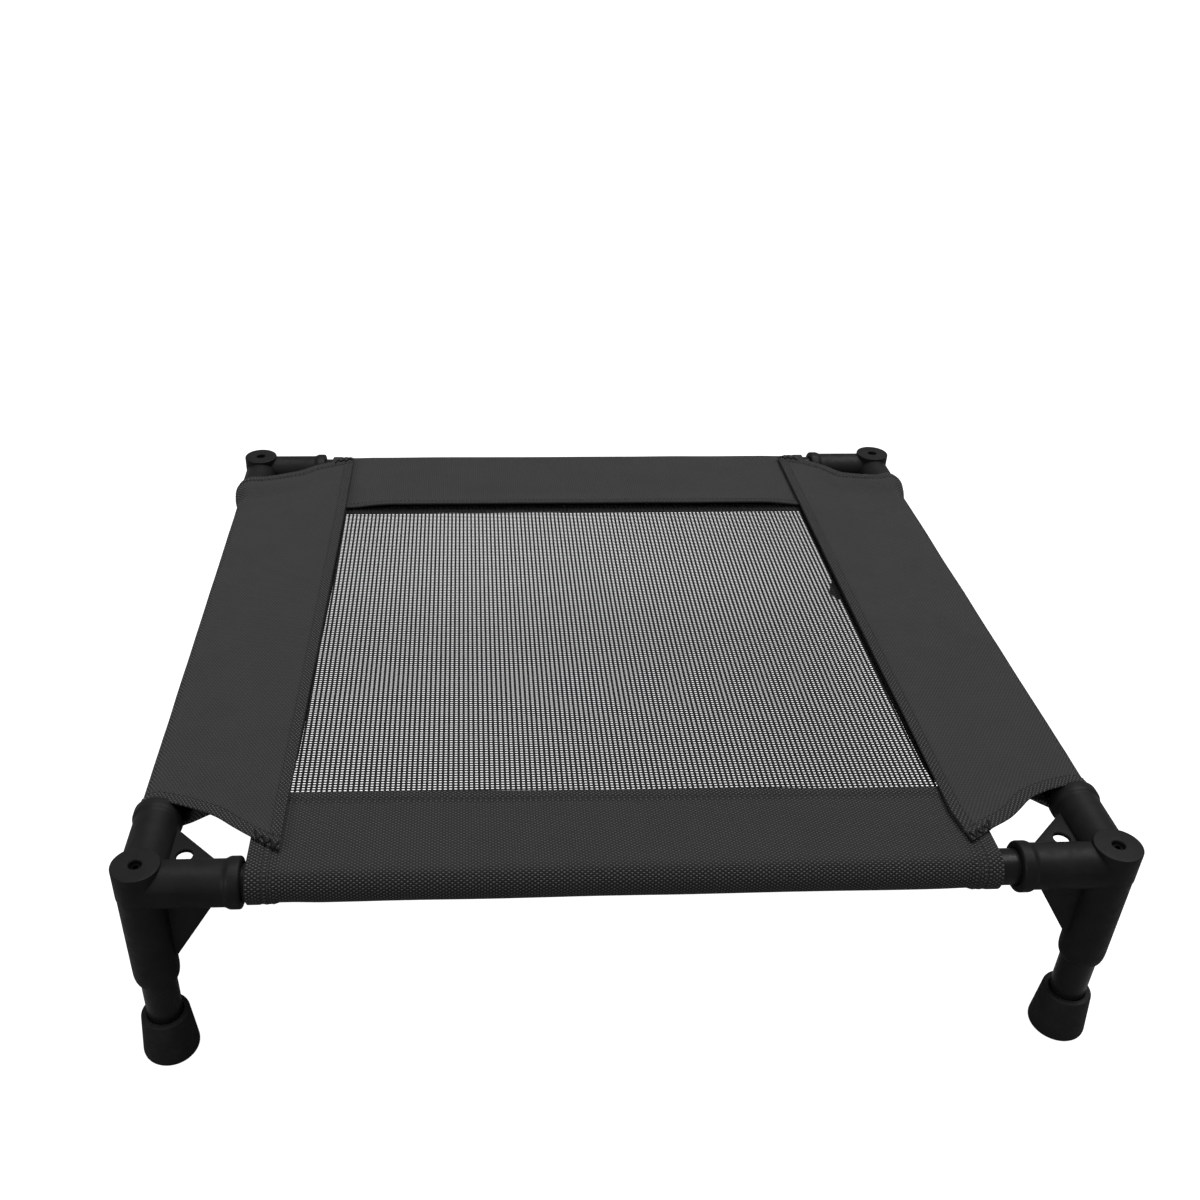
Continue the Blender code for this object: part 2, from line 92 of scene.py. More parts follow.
# Cloth
CLOTH = 0.0007
CLEARANCE = 0.0003
HEM_WIDTH = 0.0082
HEM_EXTRA = 0.0009  # what the folded hem adds to the cloth's thickness
HEM_LIFT = 0.0007
HEM_STEP = (-0.0006, 0.0009)  # from the hem's inner edge, where its thickness falls away
SEAM_INSET = 0.0070  # from the mesh's edge to the seam
SEAM_MARGIN = 0.001  # from a seam's end to the mesh's edge
END_HEM_WIDTH = 0.0165  # the front and rear sleeves' hems
END_SEAMS = (0.0090, 0.0135)
NOTCH_SEAM = 0.0074
SEAM_PULL = 0.0007  # how far a seam pulls the cloth in
SEAM_HALF_WIDTH = 0.0011
# A seam takes this share of the weave's bump and painted shade and highlight away.
SEAM_FLATTENS = 0.75  # how much of the weave goes where a seam pulls the cloth flat
SIDE_RISE = 0.0026  # the side panels lift to lie on the front and rear ones
FLARE_START = 0.0800  # from the rear leg axis, where the side sleeves begin to widen
FLARE_TOP = 0.0560
TAUT_FROM = 0.0900  # from the rear leg axis, where the wrinkles start to fade towards the corner
TAUT_SHARE = 0.8
REAR_SLIM = 0.0009  # how much closer the sleeve lies behind the socket's bead
REAR_SLIM_AT = 0.0460
UNDER_STOP = (0.0460, 0.0620)  # inwards from the side rail, where the lower layer steps back
UNDER_MEETS = 0.0360  # inwards from the side rail, where the layers meet at a notch
UNDER_SET_BACK = 0.0030  # of the lower layer's end where it meets the upper one
UNDER_OPENS = (0.0460, 0.0850)  # from the leg axis, where the lower layer comes down again
WRINKLE = 0.0006
END_WRINKLE = 0.0011
END_WRINKLE_REACH = 0.05
SLOW_FOLDS = 18.0  # a metre along the rail
QUICK_FOLDS = 55.0
FOLDS_ACROSS = 30.0
FIRST_SEED = 1.3
SEED_STEP = 3.7
QUICK_SEED = 7
# Painted weave shade and highlight go on curved cloth, by the normal's height.
FLAT_FROM = (0.80, 0.985)  # of the normal's height: curved cloth below, flat above
# Each panel's share of the weave's bump and painted shade and highlight where it lies flat.
PLAIN_SHARES = {"left": 0.25, "right": 0.25, "front": 0.55, "rear": 0.25}
# A hem gets this share of the weave's bump and painted shade and highlight.
HEM_RELIEF_AND_SHADE = 0.75  # how much of its weave a hem shows, next to a curve
COVERED_FROM = 0.0200  # inside the window's sides, where the side panels start to press down
REAR_UNDER_REACH = 0.0015  # the rear panel's lower layer runs on beyond the upper one's edge
REAR_CURL = 0.0030  # the rear panel's free edge curls up
CURL_REACH = 0.016
FRONT_EDGE_SKEW = -0.0147  # the front panel narrows to the right
NET_SHIFT = -0.0035
SIDE_UNDER_REACH = -0.0007
STEEPEST = 1.6  # slope of a notch
EDGE_ROUND = 0.8  # how far the cloth's edge stands out, as a share of half its thickness
WEAVE_ALONG = 0.00172
WEAVE_ACROSS = 0.00115

# Each notch of a side panel, front then rear, as (inwards from the side rail, from the leg axis)
NOTCHES = {
    "left": (
        ((0.0, 0.0595), (0.012, 0.0557), (0.026, 0.0494), (0.039, 0.0424))
        + ((0.0515, 0.0321), (0.064, 0.0225), (0.0813, 0.0107)),
        ((0.0, 0.0450), (0.011, 0.0440), (0.038, 0.0330))
        + ((0.053, 0.0215), (0.070, 0.0125), (0.0867, 0.0060)),
    ),
    "right": (
        ((0.0, 0.0605), (0.014, 0.0561), (0.022, 0.0527), (0.034, 0.0454))
        + ((0.0475, 0.0318), (0.055, 0.0255), (0.071, 0.0148), (0.0825, 0.0070)),
        ((0.0, 0.0440), (0.011, 0.0475), (0.039, 0.0420))
        + ((0.054, 0.0260), (0.072, 0.0130), (0.0925, 0.0060)),
    ),
}
# Each side panel's inner edge, (from the front leg axis, inwards from the side rail)
INNER_EDGES = {
    "left": ((0.010, 0.0813), (0.062, 0.0810), (0.436, 0.0865), (0.540, 0.0867)),
    "right": ((0.007, 0.0825), (0.057, 0.0910), (0.300, 0.0925), (0.540, 0.0925)),
}

# Stitches
STITCH_PITCH = 0.0034
STITCH_LENGTH = 0.0026
THREAD_RADIUS = 0.00030
# Along half a stitch's length, its height and its radius as shares of the thread's radius
STITCH_PLACES = (-1, -0.8, -0.3, 0.3, 0.8, 1)
STITCH_HEIGHTS = (-1.4, -0.1, 0.55, 0.55, -0.1, -1.4)
STITCH_SWELL = (0.5, 0.9, 1.0, 1.0, 0.9, 0.5)
WINDOW_SEAM_FROM = 0.8  # rows from the panel's end
TACK_LENGTH = 0.0155
TACK_WIDTH = 0.0060
TACK_INSET = 0.0016  # from the panel's edge in to the tack's middle
TACK_TURNS = 3
TACK_THREAD = 0.00070
TACK_LIFT = 0.7  # of the thread's radius
TACK_UNEVEN = 0.25
TACK_BEAT = 2.1  # radians of unevenness in each turn
TACK_PHASE = 1.0

# Netting
COLUMN_PITCH = 0.00330
COLUMN_WIDTH = 0.00152
COLUMN_THICKNESS = 0.00050
ROW_PITCH = 0.00245
ROW_WIDTH = 0.00130
ROW_THICKNESS = 0.00018
NET_WAVE = 0.00042
NET_SAG = 0.0035
ROW_SEGMENTS = 20

# Smoothness
ROUND_STEPS = 72
CORNER_STEPS = 5  # in a rounded corner of an outline
TUBE_CORNER_STEPS = 3
FOOT_CORNER_STEPS = 8
NOSE_STEPS = 12
BEVEL_SEGMENTS = 3
SLEEVE_STEPS = 22
CURVE_STEPS = 12
TACK_STEPS = 12
SEAM_SAMPLES = 1500
THREAD_SIDES = 6
GRID_STEP = 0.0025
TINY = 1e-6
# In from a panel's edge or end to the lines of its mesh, which are closest at the hems
END_STEPS = 0.001 * np.array(
    [0, 0.4, 1, 1.8, 2.8, 4, 5.2, 6.2, 6.9, 7.5, 8.1, 8.7, 9.3, 10, 11, 12, 13, 14, 15.2, 16.6, 18.5]
)
MERGE_DISTANCE = 1e-6
SMOOTH_ANGLE = math.radians(32)


# ---- the frame's places


def box(node):
    low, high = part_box(node)
    return Vector(low), Vector(high)


leg_low, leg_high = box("leg_front_left")
corner_low, corner_high = box("corner_front_left")
foot_low, foot_high = box("foot_front_left")
rail_low, rail_high = box("front_rail")

HALF_X = -(leg_low.x + leg_high.x) / 2
HALF_Y = -(leg_low.y + leg_high.y) / 2
TUBE_RADIUS = (leg_high.x - leg_low.x) / 2
RAIL_Z = (rail_low.z + rail_high.z) / 2
SOCKET_REACH = corner_high.x + HALF_X
RIM_RADIUS = -HALF_X - corner_low.x
SOCKET_RADIUS = RIM_RADIUS - RIM_STANDS_PROUD
SOCKET_BORE = SOCKET_RADIUS - SOCKET_WALL
BOSS_RISE = corner_high.z - RAIL_Z
LEG_SOCKET_DROP = RAIL_Z - corner_low.z
FOOT_HEIGHT = foot_high.z
FOOT_BASE_RADIUS = -HALF_X - foot_low.x

WINDOW_X = -box("left_panel")[1].x
WINDOW_FRONT = box("front_panel")[1].y
WINDOW_REAR = box("rear_panel")[0].y
SLEEVE_RADIUS = SOCKET_BORE + CLOTH / 2  # the middle of the cloth where it lies on a rail
NET_LEVEL = sum(corner.z for corner in box("mesh_panel")) / 2

CORNERS = (
    ("front_left", -1, -1, 0),
    ("front_right", 1, -1, 1),
    ("rear_right", 1, 1, 2),
    ("rear_left", -1, 1, 3),
)


# ---- materials


class Finish:
    """A material built up one node at a time. Textures read metres in the object's own frame."""

    def __init__(self, name, metallic=0.0, specular=0.5, sheen=0.0):
        self.material = bpy.data.materials.new(name)
        self.material.use_nodes = True
        self.tree = self.material.node_tree
        self.shader = self.tree.nodes["Principled BSDF"]
        self.shader.inputs["Metallic"].default_value = metallic
        self.shader.inputs["Specular IOR Level"].default_value = specular
        self.shader.inputs["Sheen Weight"].default_value = sheen
        self.coordinates = self.node("TexCoord").outputs["Object"]

    def join(self, value, socket):
        if isinstance(value, bpy.types.NodeSocket):
            self.tree.links.new(value, socket)
        else:
            socket.default_value = value

    def node(self, kind, inputs=None, **settings):
        node = self.tree.nodes.new("ShaderNode" + kind)
        for key, value in settings.items():
            setattr(node, key, value)
        for name, value in (inputs or {}).items():
            self.join(value, node.inputs[name])
        return node

    def math(self, operation, *values):
        node = self.node("Math", operation=operation)
        for value, socket in zip(values, node.inputs):
            self.join(value, socket)
        return node.outputs[0]

    def grain(self, scale, detail=2.0, stretch=(1, 1, 1)):
        """Noise with features of about one over the scale, in metres."""
        mapped = self.node("Mapping", {"Vector": self.coordinates, "Scale": stretch})
        inputs = {"Vector": mapped.outputs[0], "Scale": scale, "Detail": detail}
        return self.node("TexNoise", inputs).outputs["Fac"]

    def spread(self, value, low, high, to_low=0.0, to_high=1.0):
        """The value's range from low to high, smoothly, as to_low to to_high."""
        inputs = {"Value": value, "From Min": low, "From Max": high}
        inputs |= {"To Min": to_low, "To Max": to_high}
        return self.node("MapRange", inputs, interpolation_type="SMOOTHSTEP").outputs[0]

    def mix(self, share, first, second):
        node = self.node("Mix", data_type="RGBA")
        for value, socket in ((share, 0), (first, 6), (second, 7)):
            if isinstance(value, tuple):
                value = (*value, 1.0)
            self.join(value, node.inputs[socket])
        return node.outputs[2]

    def bump(self, height, distance, below=None):
        inputs = {"Height": height, "Distance": distance, "Strength": 1.0}
        if below:
            inputs["Normal"] = below
        return self.node("Bump", inputs).outputs[0]

    def finish(self, colour, roughness, normal):
        self.join(colour, self.shader.inputs["Base Color"])
        self.join(roughness, self.shader.inputs["Roughness"])
        self.join(normal, self.shader.inputs["Normal"])
        return self.material


def plastic_finish():
    f = Finish("moulded_plastic", specular=0.10)
    cloudy = f.spread(f.grain(60, 3), 0.35, 0.65)
    colour = f.mix(cloudy, (0.0068, 0.0068, 0.0070), (0.0088, 0.0088, 0.0090))
    speck = f.grain(2600, 1)
    colour = f.mix(f.spread(speck, 0.68, 0.8), colour, (0.010, 0.010, 0.010))
    roughness = f.spread(f.grain(180, 3), 0.3, 0.7, 0.42, 0.56)
    normal = f.bump(speck, 0.00005)
    return f.finish(colour, roughness, normal)


def painted_steel_finish():
    f = Finish("black_paint", specular=0.15)
    colour = f.mix(f.grain(120, 3), (0.0052, 0.0052, 0.0054), (0.0074, 0.0074, 0.0077))
    roughness = f.spread(f.grain(300, 2), 0.3, 0.7, 0.24, 0.34)
    peel = f.bump(f.grain(700, 1), 0.00004)
    return f.finish(colour, roughness, peel)


def rubber_finish():
    f = Finish("foot_rubber", specular=0.15)
    dust = f.spread(f.grain(90, 4), 0.45, 0.75)
    colour = f.mix(dust, (0.0085, 0.0085, 0.0085), (0.0120, 0.0120, 0.0117))
    roughness = f.spread(f.grain(400, 3), 0.3, 0.7, 0.58, 0.74)
    return f.finish(colour, roughness, f.bump(f.grain(1800, 2), 0.00006))


def steel_finish(name, dark, light, roughness_low, roughness_high):
    f = Finish(name, metallic=1.0)
    turned_marks = f.grain(500, 2, (1, 1, 14))
    colour = f.mix(turned_marks, dark, light)
    roughness = f.spread(f.grain(900, 2), 0.3, 0.7, roughness_low, roughness_high)
    return f.finish(colour, roughness, f.bump(turned_marks, 0.00003))


def cloth_finish():
    """Plain weave: coarse threads one way and finer ones across, over and under in turn."""
    f = Finish("woven_polyester", specular=0.12, sheen=0.04)
    threads = f.node("SeparateXYZ", {"Vector": f.node("UVMap", uv_map="weave").outputs[0]})
    # Per point share of the weave's bump and of its painted shade and highlight.
    relief = f.node("Attribute", attribute_name="relief").outputs["Fac"]
    along = f.math("SINE", f.math("MULTIPLY", threads.outputs["X"], math.pi / WEAVE_ALONG))
    across = f.math("SINE", f.math("MULTIPLY", threads.outputs["Y"], math.pi / WEAVE_ACROSS))
    knit = f.math("MULTIPLY", along, across)
    over = f.math("MAXIMUM", knit, f.math("MULTIPLY", knit, -0.45))
    over = f.math("MULTIPLY", over, f.spread(relief, 0.0, 1.0, 0.3, 1.0))
    dots = f.spread(knit, 0.08, 0.78)
    fibre = f.grain(2200, 2)
    patch = f.spread(f.grain(35, 3), 0.3, 0.7)
    plain = f.mix(patch, (0.0243, 0.0243, 0.0247), (0.0270, 0.0270, 0.0274))
    # Painted shade and highlight: the gaps between the threads are painted darker and the raised
    # threads lighter, most where the cloth curves, stands upright or is hemmed; flat tops keep the
    # plain tone.
    shaded_gaps = f.mix(relief, plain, (0.0085, 0.0085, 0.0088))
    raised = f.mix(relief, plain, f.mix(fibre, (0.080, 0.080, 0.081), (0.103, 0.103, 0.104)))
    colour = f.mix(dots, shaded_gaps, raised)
    roughness = f.spread(fibre, 0.3, 0.7, 0.72, 0.9)
    weave = f.bump(over, 0.0008)
    return f.finish(colour, roughness, f.bump(fibre, 0.00003, weave))


def thread_finish(name, dark, light):
    f = Finish(name, specular=0.14, sheen=0.03)
    twist = f.grain(2400, 1, (1, 1, 0.4))
    colour = f.mix(twist, dark, light)
    roughness = f.spread(f.grain(1200, 2), 0.3, 0.7, 0.45, 0.65)
    return f.finish(colour, roughness, f.bump(twist, 0.00005))


plastic = plastic_finish()
paint = painted_steel_finish()
rubber = rubber_finish()
bright_steel = steel_finish("zinc_steel", (0.32, 0.32, 0.33), (0.5, 0.5, 0.5), 0.28, 0.4)
# Black-oxide screw, made darker still as painted shade for the recess it sits in.
black_oxide_and_recess_shade = steel_finish("black_oxide_and_recess_shade", (0.003, 0.003, 0.003), (0.007, 0.007, 0.007), 0.4, 0.55)
cloth = cloth_finish()
netting = thread_finish("netting_thread", (0.004, 0.004, 0.0042), (0.008, 0.008, 0.0083))
sewing = thread_finish("sewing_thread", (0.005, 0.005, 0.0052), (0.012, 0.012, 0.0123))
tacking = thread_finish("tacking_thread", (0.0015, 0.0015, 0.0016), (0.004, 0.004, 0.0041))


# ---- mesh helpers


def mesh_of(name, shape, smooth_angle=SMOOTH_ANGLE):
    bmesh.ops.remove_doubles(shape, verts=shape.verts, dist=MERGE_DISTANCE)
    bmesh.ops.recalc_face_normals(shape, faces=shape.faces)
    mesh = bpy.data.meshes.new(name)
    shape.to_mesh(mesh)
    shape.free()
    mesh.shade_smooth()
    mesh.set_sharp_from_angle(angle=smooth_angle)
    return mesh


def piece(name, mesh, material, slot, *stands_for):
    """An object of the bed that shows the mesh, in place of the CAD nodes named."""
    thing = bpy.data.objects.new(name, mesh)
    mesh.materials.clear()
    mesh.materials.append(material)
    bpy.context.collection.objects.link(thing)
    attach(thing, "root")
    if stands_for:
        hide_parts(*stands_for)
    return thing


def eased(corners, steps=CORNER_STEPS):
    """The outline with each corner given as (radius, height, rounding) rounded off by a curve."""
    points = []
    count = len(corners)
    for i, (x, y, rounding) in enumerate(corners):
        here = Vector((x, y))
        if not rounding:
            points.append((x, y))
            continue
        before = Vector(corners[i - 1][:2])
        after = Vector(corners[(i + 1) % count][:2])
        begin = here + (before - here).normalized() * rounding
        end = here + (after - here).normalized() * rounding
        for step in range(steps + 1):
            t = step / steps
            points.append(tuple((1 - t) ** 2 * begin + 2 * t * (1 - t) * here + t * t * end))
    return points


def turned(name, outline, steps=ROUND_STEPS):
    """A body turned about +Z. An outline that starts and ends on the axis is a solid, else a ring."""
    shape = bmesh.new()
    points = [shape.verts.new((radius, 0.0, height)) for radius, height in outline]
    follows = points[1:] if outline[0][0] == 0 else points[1:] + points[:1]
    edges = [shape.edges.new(ends) for ends in zip(points, follows)]
    bmesh.ops.spin(
        shape, geom=points + edges, cent=(0, 0, 0), axis=(0, 0, 1), angle=2 * math.pi, steps=steps
    )
    return mesh_of(name, shape)


def prism(name, outline, height, edge=0.0):
    """A polygon in the XY plane, raised to a height, with its edges broken."""
    shape = bmesh.new()
    face = shape.faces.new([shape.verts.new((x, y, 0.0)) for x, y in outline])
    raised = bmesh.ops.extrude_face_region(shape, geom=[face])["geom"]
    lifted = [item for item in raised if isinstance(item, bmesh.types.BMVert)]
    bmesh.ops.translate(shape, verts=lifted, vec=(0, 0, height))
    if edge:
        rounding = {"offset": edge, "segments": BEVEL_SEGMENTS, "profile": 0.5}
        bmesh.ops.bevel(shape, geom=list(shape.edges), affect="EDGES", **rounding)
    return mesh_of(name, shape)


def moved(mesh, matrix):
    mesh.transform(matrix)
    return mesh


def combined(body, others, operation):
    """The body's mesh after one exact Boolean with each of the others."""
    base = bpy.data.objects.new("base", body)
    bpy.context.collection.objects.link(base)
    tools = [base]
    for other in others:
        tool = bpy.data.objects.new("tool", other)
        bpy.context.collection.objects.link(tool)
        step = base.modifiers.new("step", "BOOLEAN")
        step.operation = operation
        step.solver = "EXACT"
        step.object = tool
        tools.append(tool)
    bpy.context.view_layer.update()
    shown = base.evaluated_get(bpy.context.evaluated_depsgraph_get())
    result = bpy.data.meshes.new_from_object(shown)
    for tool in tools:
        bpy.data.objects.remove(tool)
    shape = bmesh.new()
    shape.from_mesh(result)
    return mesh_of(body.name, shape)


def threads_mesh(name, rings):
    """Closed threads from an array of (thread, ring, point round it, xyz)."""
    threads, along, around = rings.shape[:3]
    index = np.arange(threads * along * around).reshape(threads, along, around)
    following = np.roll(index, -1, axis=2)
    quads = [index[:, :-1], following[:, :-1], following[:, 1:], index[:, 1:]]
    quads = np.stack(quads, axis=-1).reshape(-1, 4)
    caps = np.concatenate([index[:, 0, ::-1], index[:, -1]])
    mesh = bpy.data.meshes.new(name)
    mesh.from_pydata(rings.reshape(-1, 3), [], [*quads.tolist(), *caps.tolist()])
    mesh.shade_smooth()
    return mesh


# ---- corners


def socket_body():
    """A rail socket's outside, along +Z from inside the head to its beaded mouth."""
    bead = RIM_STANDS_PROUD
    start = TUBE_WALL
    rim = SOCKET_REACH - RIM_LENGTH
    outline = [
        (0.0, start, 0),
        (SOCKET_RADIUS, start, 0),
        (SOCKET_RADIUS, rim - bead, bead),
        (RIM_RADIUS, rim + bead / 2, bead),
        (RIM_RADIUS, SOCKET_REACH, RIM_MOUTH_ROUND),
        (0.0, SOCKET_REACH, 0),
    ]
    return turned("socket", eased(outline))


def head_and_leg_socket():
    """The upright middle of a corner, from its flat top down to the leg socket's rounded mouth."""
    head = SOCKET_RADIUS + BOSS_STANDS_PROUD
    lip = SOCKET_BORE + NOSE_WALL
    nose = []
    for step in range(NOSE_STEPS + 1):
        angle = math.pi / 2 * step / NOSE_STEPS
        radius = lip + (SOCKET_RADIUS - lip) * math.sin(angle)
        nose.append((radius, NOSE_LENGTH * (1 - math.cos(angle)) - LEG_SOCKET_DROP))
    ledge = eased(
        [
            (SOCKET_RADIUS, -LEG_SOCKET_DROP, 0),
            (SOCKET_RADIUS, -BOSS_DROP, BOSS_STANDS_PROUD),
            (head, -BOSS_DROP, BOSS_STANDS_PROUD / 2),
            (head, BOSS_RISE, BOSS_EDGE),
            (0.0, BOSS_RISE, 0),
        ]
    )
    return turned("corner", [(0.0, -LEG_SOCKET_DROP), *nose, *ledge[1:]])


def flat_web():
    """The level web between the two rail sockets, at their axes."""
    leg = 2 * SOCKET_RADIUS + FLAT_WEB_REACH
    web = prism("web", [(0, 0), (leg, 0), (0, leg)], WEB_THICKNESS, WEB_EDGE)
    return moved(web, Matrix.Translation((0, 0, -WEB_THICKNESS / 2)))


def upright_web():
    """The web under the rail socket that runs along +X."""
    slope = UPRIGHT_WEB_DROP / UPRIGHT_WEB_REACH
    along = SOCKET_RADIUS + UPRIGHT_WEB_REACH + SOCKET_RADIUS / slope
    down = SOCKET_RADIUS + UPRIGHT_WEB_DROP + SOCKET_RADIUS * slope
    web = prism("web", [(0, 0), (along, 0), (0, down)], WEB_THICKNESS, WEB_EDGE)
    web.transform(Matrix.Translation((0, 0, -WEB_THICKNESS / 2)))
    return moved(web, Matrix.Rotation(-math.pi / 2, 4, "X"))


def flared_cutter(radius, start, stop, beyond):
    """A round cutter along +Z that widens where it leaves the body at its upper end."""
    wide, end = radius + EDGE_BREAK + beyond, stop + beyond
    outline = [(0.0, start), (radius, start), (radius, stop - EDGE_BREAK), (wide, end), (0.0, end)]
    return turned("cutter", outline)


def web_hole_cutter(beyond):
    """A round cutter through the level web, wider at both of its faces."""
    straight = WEB_THICKNESS / 2 - EDGE_BREAK
    end = WEB_THICKNESS / 2 + beyond
    wide = WEB_HOLE_RADIUS + EDGE_BREAK + beyond
    outline = [(0.0, -end), (wide, -end), (WEB_HOLE_RADIUS, -straight)]
    outline += [(WEB_HOLE_RADIUS, straight), (wide, end), (0.0, end)]
    return moved(turned("hole", outline), Matrix.Translation((WEB_HOLE_INSET, WEB_HOLE_INSET, 0)))


def corner_mesh():
    along_x = Matrix.Rotation(math.pi / 2, 4, "Y")
    along_y = Matrix.Rotation(-math.pi / 2, 4, "X")
    quarter = Matrix.Rotation(math.pi / 2, 4, "Z")
    parts = [
        moved(socket_body(), along_x),
        moved(socket_body(), along_y),
        flat_web(),
        upright_web(),
        moved(upright_web(), quarter),
    ]
    solid = combined(head_and_leg_socket(), parts, "UNION")
    beyond = TUBE_WALL
    start, stop = -LEG_SOCKET_DROP - LEG_BORE_RUN_OUT, BOSS_RISE - BOSS_FLOOR
    recess_floor = BOSS_RISE - RECESS_DEPTH
    cutters = [
        moved(flared_cutter(SOCKET_BORE, SOCKET_STOP, SOCKET_REACH, beyond), along_x),
        moved(flared_cutter(SOCKET_BORE, SOCKET_STOP, SOCKET_REACH, beyond), along_y),
        turned("leg_bore", [(0.0, start), (SOCKET_BORE, start), (SOCKET_BORE, stop), (0.0, stop)]),
        flared_cutter(RECESS_RADIUS, recess_floor, BOSS_RISE, beyond),
        flared_cutter(SCREW_HOLE_RADIUS, 0.0, recess_floor, EDGE_BREAK),
        web_hole_cutter(beyond),
    ]
    return combined(solid, cutters, "DIFFERENCE")


def build_corners():
    pattern = corner_mesh()
    for name, x, y, turns in CORNERS:
        mesh = pattern.copy()
        mesh.transform(Matrix.Rotation(turns * math.pi / 2, 4, "Z"))
        mesh.transform(Matrix.Translation((x * HALF_X, y * HALF_Y, RAIL_Z)))
        node = "corner_" + name
        piece("moulded_" + node, mesh, plastic, "corner_plastic", node)


# ---- tubes, feet and screws


def tube_mesh(length):
    inner = TUBE_RADIUS - TUBE_WALL
    outline = [
        (inner, 0.0, 0),
        (TUBE_RADIUS, 0.0, EDGE_BREAK),
        (TUBE_RADIUS, length, EDGE_BREAK),
        (inner, length, 0),
    ]
    return turned("tube", eased(outline, TUBE_CORNER_STEPS))


def build_tubes():
    turns = {
        "front_rail": Matrix.Rotation(math.pi / 2, 4, "Y"),
        "rear_rail": Matrix.Rotation(math.pi / 2, 4, "Y"),
        "left_rail": Matrix.Rotation(-math.pi / 2, 4, "X"),
        "right_rail": Matrix.Rotation(-math.pi / 2, 4, "X"),
    }
    for name, *_ in CORNERS:
        turns["leg_" + name] = Matrix.Identity(4)
    for node, turn in turns.items():
        low, high = box(node)
        start = (low + high) / 2
        axis = max(range(3), key=lambda i: high[i] - low[i])
        start[axis] = low[axis]
        mesh = moved(tube_mesh(high[axis] - low[axis]), turn)
        piece("painted_" + node, moved(mesh, Matrix.Translation(start)), paint, "tube_steel", node)


def foot_mesh():
    ring_in = FOOT_RING_RADIUS - FOOT_RING_WIDTH / 2
    ring_out = FOOT_RING_RADIUS + FOOT_RING_WIDTH / 2
    groove = FOOT_RING_DEPTH
    outline = [
        (0.0, 0.0, 0),
        (ring_in, 0.0, EDGE_BREAK),
        (ring_in + groove / 2, groove, EDGE_BREAK / 2),
        (ring_out - groove / 2, groove, EDGE_BREAK / 2),
        (ring_out, 0.0, EDGE_BREAK),
        (FOOT_BASE_RADIUS, 0.0, FOOT_BASE_ROUND),
        (FOOT_TOP_RADIUS, FOOT_HEIGHT, FOOT_RIM_ROUND),
        (SOCKET_BORE, FOOT_HEIGHT, EDGE_BREAK),
        (SOCKET_BORE, FOOT_SOLE, 0),
        (0.0, FOOT_SOLE, 0),
    ]
    return turned("foot", eased(outline, FOOT_CORNER_STEPS))


def screw_mesh(low, high):
    """A socket-head screw, from the CAD one's lowest to its highest point."""
    length = high.z - low.z
    radius = (high.x - low.x) / 2
    head = length - 2 * radius * SCREW_HEAD_HEIGHT
    outline = [
        (0.0, 0.0, 0),
        (SHANK_RADIUS, 0.0, EDGE_BREAK),
        (SHANK_RADIUS, head, 0),
        (radius, head, EDGE_BREAK / 2),
        (radius, length, EDGE_BREAK),
        (0.0, length, 0),
    ]
    angles = [k * math.pi / 3 for k in range(6)]
    corners = [(HEX_RADIUS * math.cos(a), HEX_RADIUS * math.sin(a)) for a in angles]
    hexagon = moved(prism("hex", corners, length), Matrix.Translation((0, 0, length - HEX_DEPTH)))
    return combined(turned("screw", eased(outline)), [hexagon], "DIFFERENCE")


def build_feet_and_screws():
    for name, x, y, _ in CORNERS:
        here = Matrix.Translation((x * HALF_X, y * HALF_Y, 0))
        foot = "foot_" + name
        piece("rubber_" + foot, moved(foot_mesh(), here), rubber, "foot_rubber", foot)
        screw = "leg_screw_" + name
        low, high = box(screw)
        place = Matrix.Translation((x * HALF_X, y * HALF_Y, low.z))
        mesh = moved(screw_mesh(low, high), place)
        piece("hex_" + screw, mesh, black_oxide_and_recess_shade, "screw_steel", screw)
        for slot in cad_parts["leg_plug_" + name].material_slots:
            slot.material = bright_steel


# ---- sewn cover


def smooth(value, start, stop):
    """0 before start, 1 after stop, eased between."""
    t = np.clip((value - start) / (stop - start), 0.0, 1.0)
    return t * t * (3 - 2 * t)


def unit(vectors):
    return vectors / np.linalg.norm(vectors, axis=-1, keepdims=True)


def steps_between(start, stop, step=GRID_STEP):
    """Evenly spaced values after start up to stop."""
    count = max(2, math.ceil((stop - start) / step))
    return start + (stop - start) * np.arange(1, count + 1) / count


